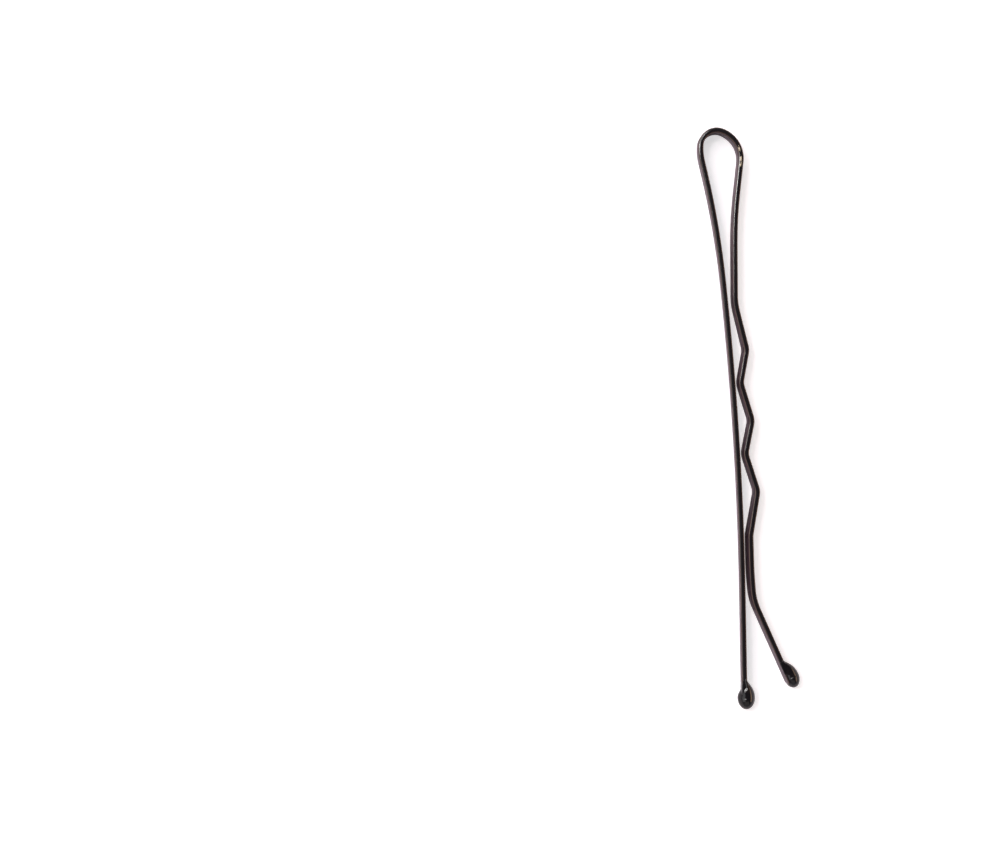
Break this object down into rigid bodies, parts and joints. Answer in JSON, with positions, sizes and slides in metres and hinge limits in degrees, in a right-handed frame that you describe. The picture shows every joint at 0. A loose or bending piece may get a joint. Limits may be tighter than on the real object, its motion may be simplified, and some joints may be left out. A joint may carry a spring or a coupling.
{
  "type": "bobby pin",
  "caption": "Sprung bobby pin: a strip of lacquered steel folded at a teardrop bow, with a straight leg, a crimped leg with a splayed end, and a resin bead on each tip.",
  "frame": {"origin": "centre of the pin's outline, on the surface that the pin lies on", "axes": "+Y from the tips to the bow, +X from the straight leg to the crimped leg, +Z across the strip's width, away from the surface"},
  "size_m": [0.008, 0.0508, 0.0019],
  "materials": {
    "lacquered_steel": "gloss black lacquer over spring steel",
    "tip_resin": "gloss black dipped resin"
  },
  "bodies": {
    "straight_side": {"straight_leg": "lacquered_steel", "bow": "lacquered_steel", "straight_leg_bead": "tip_resin"},
    "crimped_side": {"crimped_leg": "lacquered_steel", "crimped_leg_bead": "tip_resin"}
  },
  "joints": [
    {"name": "bow_flex", "type": "hinge", "parent": "straight_side", "child": "crimped_side", "pos_m": [-0.00219, 0.0241, 0.00093], "axis": [0, 0, 1], "range_deg": [0, 20], "stiffness_Nm_per_rad": 0.06, "springref_deg": -2.86, "deforming": ["bow"]}
  ]
}
